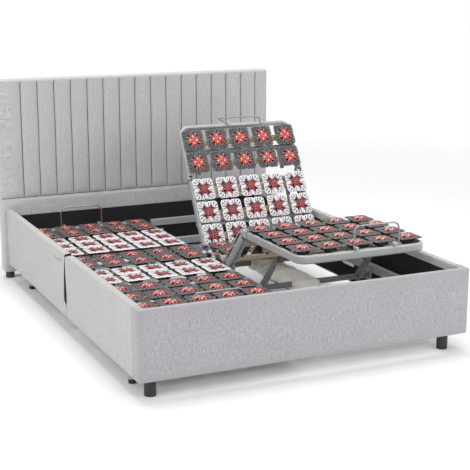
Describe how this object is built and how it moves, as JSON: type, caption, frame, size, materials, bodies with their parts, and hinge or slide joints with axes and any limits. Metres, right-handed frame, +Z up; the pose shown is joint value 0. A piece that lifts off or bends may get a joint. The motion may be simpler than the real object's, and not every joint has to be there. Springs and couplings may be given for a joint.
{
  "type": "adjustable bed base",
  "caption": "Upholstered double bed box with headboard around two motor-driven slatted bases with spring plots, each with hinged neck, back, thigh and leg sections.",
  "frame": {"origin": "on the floor at the centre of the bounding box", "axes": "+X to the right seen from the foot end, +Y from the foot board to the headboard, +Z up"},
  "size_m": [1.73, 2.32, 1.175],
  "materials": {
    "headboard_fabric": "light grey woven upholstery in upright padded channels",
    "box_fabric": "light warm grey woven upholstery",
    "black_lining": "black lining cloth stapled over board",
    "headboard_back": "board with black backing cloth",
    "block_wood": "sawn softwood",
    "feet": "matt black",
    "zinc": "bright zinc plating",
    "fixed_frame_paint": "light grey powder coat, satin",
    "section_frame_paint": "grey powder coat, satin",
    "lift_paint": "dark grey powder coat",
    "black_plastic": "matt black moulding",
    "slat_wood": "clear-lacquered laminated beech",
    "grey_plots": "dark grey flexible plates with red spring centres",
    "white_plots": "white flexible plates with red spring centres",
    "pins": "bright zinc plating",
    "drive_housing": "greenish grey moulded housing",
    "retainer_wire": "bright bent wire"
  },
  "bodies": {
    "bed_box": {"headboard_panel": "headboard_back", "headboard_cover": "headboard_fabric", "headboard_feet": "feet", "head_cross_panel": "black_lining", "left_rail_covers": "box_fabric", "right_rail_covers": "box_fabric", "side_rail_boards": "black_lining", "foot_board_panel": "black_lining", "foot_board_cover": "box_fabric", "corner_blocks": "block_wood", "corner_feet": "feet", "joint_plates": "zinc", "headboard_brackets": "zinc", "joint_bolts": "zinc", "left_base_frame": "fixed_frame_paint", "right_base_frame": "fixed_frame_paint", "base_legs": "fixed_frame_paint", "leg_glides": "black_plastic", "seat_slat_rests": "black_plastic", "seat_slats": "slat_wood", "seat_plots": "grey_plots", "section_pins": "pins", "left_drive_unit": "drive_housing", "right_drive_unit": "drive_housing"},
    "left_neck_section": {"left_neck_frame": "section_frame_paint", "left_neck_slats": "slat_wood", "left_neck_plots": "grey_plots"},
    "left_back_section": {"left_back_frame": "section_frame_paint", "left_back_slats": "slat_wood", "left_back_plots": "white_plots", "left_neck_pins": "pins"},
    "left_thigh_section": {"left_thigh_frame": "section_frame_paint", "left_thigh_slats": "slat_wood", "left_thigh_plots": "white_plots", "left_knee_pins": "pins"},
    "left_leg_section": {"left_leg_frame": "section_frame_paint", "left_leg_slats": "slat_wood", "left_leg_plots": "grey_plots"},
    "left_head_lift_arms": {"left_head_lift": "lift_paint"},
    "left_leg_lift_arms": {"left_leg_lift": "lift_paint"},
    "left_head_retainer_wire": {"left_head_retainer": "retainer_wire"},
    "left_foot_retainer_wire": {"left_foot_retainer": "retainer_wire"},
    "right_neck_section": {"right_neck_frame": "section_frame_paint", "right_neck_slats": "slat_wood", "right_neck_plots": "grey_plots"},
    "right_back_section": {"right_back_frame": "section_frame_paint", "right_back_slats": "slat_wood", "right_back_plots": "white_plots", "right_neck_pins": "pins"},
    "right_thigh_section": {"right_thigh_frame": "section_frame_paint", "right_thigh_slats": "slat_wood", "right_thigh_plots": "white_plots", "right_knee_pins": "pins"},
    "right_leg_section": {"right_leg_frame": "section_frame_paint", "right_leg_slats": "slat_wood", "right_leg_plots": "grey_plots"},
    "right_head_lift_arms": {"right_head_lift": "lift_paint"},
    "right_leg_lift_arms": {"right_leg_lift": "lift_paint"},
    "right_head_retainer_wire": {"right_head_retainer": "retainer_wire"},
    "right_foot_retainer_wire": {"right_foot_retainer": "retainer_wire"}
  },
  "joints": [
    {"name": "left_back_hinge", "type": "hinge", "parent": "bed_box", "child": "left_back_section", "pos_m": [-0.4035, 0.225, 0.278], "axis": [1, 0, 0], "range_deg": [0, 68]},
    {"name": "left_neck_hinge", "type": "hinge", "parent": "left_back_section", "child": "left_neck_section", "pos_m": [-0.4035, 0.6405, 0.286], "axis": [1, 0, 0], "range_deg": [0, 35]},
    {"name": "left_thigh_hinge", "type": "hinge", "parent": "bed_box", "child": "left_thigh_section", "pos_m": [-0.4035, -0.13, 0.235], "axis": [-1, 0, 0], "range_deg": [0, 46]},
    {"name": "left_knee_hinge", "type": "hinge", "parent": "left_thigh_section", "child": "left_leg_section", "pos_m": [-0.4035, -0.419, 0.289], "axis": [1, 0, 0], "range_deg": [-0.5, 46.5]},
    {"name": "left_head_lift_turn", "type": "hinge", "parent": "bed_box", "child": "left_head_lift_arms", "pos_m": [-0.4035, 0.112, 0.2], "axis": [1, 0, 0], "range_deg": [-0.5, 35.83]},
    {"name": "left_leg_lift_turn", "type": "hinge", "parent": "bed_box", "child": "left_leg_lift_arms", "pos_m": [-0.4035, -0.378, 0.2], "axis": [-1, 0, 0], "range_deg": [-0.5, 50.09]},
    {"name": "left_head_retainer_fold", "type": "hinge", "parent": "left_neck_section", "child": "left_head_retainer_wire", "pos_m": [-0.4035, 0.958, 0.312], "axis": [-1, 0, 0], "range_deg": [0, 66]},
    {"name": "left_foot_retainer_fold", "type": "hinge", "parent": "left_leg_section", "child": "left_foot_retainer_wire", "pos_m": [-0.4035, -1.048, 0.312], "axis": [1, 0, 0], "range_deg": [0, 35]},
    {"name": "right_back_hinge", "type": "hinge", "parent": "bed_box", "child": "right_back_section", "pos_m": [0.4035, 0.225, 0.278], "axis": [1, 0, 0], "range_deg": [-60, 8]},
    {"name": "right_neck_hinge", "type": "hinge", "parent": "right_back_section", "child": "right_neck_section", "pos_m": [0.4035, 0.42582, 0.64183], "axis": [1, 0, 0], "range_deg": [0, 35]},
    {"name": "right_thigh_hinge", "type": "hinge", "parent": "bed_box", "child": "right_thigh_section", "pos_m": [0.4035, -0.13, 0.235], "axis": [-1, 0, 0], "range_deg": [-46, 0]},
    {"name": "right_knee_hinge", "type": "hinge", "parent": "right_thigh_section", "child": "right_leg_section", "pos_m": [0.4035, -0.29191, 0.4804], "axis": [1, 0, 0], "range_deg": [-46.5, 0.5]},
    {"name": "right_head_lift_turn", "type": "hinge", "parent": "bed_box", "child": "right_head_lift_arms", "pos_m": [0.4035, 0.112, 0.2], "axis": [1, 0, 0], "range_deg": [-31.68, 4.66]},
    {"name": "right_leg_lift_turn", "type": "hinge", "parent": "bed_box", "child": "right_leg_lift_arms", "pos_m": [0.4035, -0.378, 0.2], "axis": [-1, 0, 0], "range_deg": [-50.09, 0.5]},
    {"name": "right_head_retainer_fold", "type": "hinge", "parent": "right_neck_section", "child": "right_head_retainer_wire", "pos_m": [0.4035, 0.56206, 0.9298], "axis": [-1, 0, 0], "range_deg": [-79.5, 11.03]},
    {"name": "right_foot_retainer_fold", "type": "hinge", "parent": "right_leg_section", "child": "right_foot_retainer_wire", "pos_m": [0.4035, -0.92091, 0.5034], "axis": [1, 0, 0], "range_deg": [0, 35]}
  ],
  "couplings": [
    {"joint": "left_knee_hinge", "follows": "left_thigh_hinge", "ratio": 1},
    {"joint": "left_head_lift_turn", "follows": "left_back_hinge", "ratio": 0.5196},
    {"joint": "left_leg_lift_turn", "follows": "left_thigh_hinge", "ratio": 1.0781},
    {"joint": "right_knee_hinge", "follows": "right_thigh_hinge", "ratio": 1},
    {"joint": "right_head_lift_turn", "follows": "right_back_hinge", "ratio": 0.5196},
    {"joint": "right_leg_lift_turn", "follows": "right_thigh_hinge", "ratio": 1.0781},
    {"joint": "right_head_retainer_fold", "follows": "right_back_hinge", "ratio": 1.3167}
  ]
}
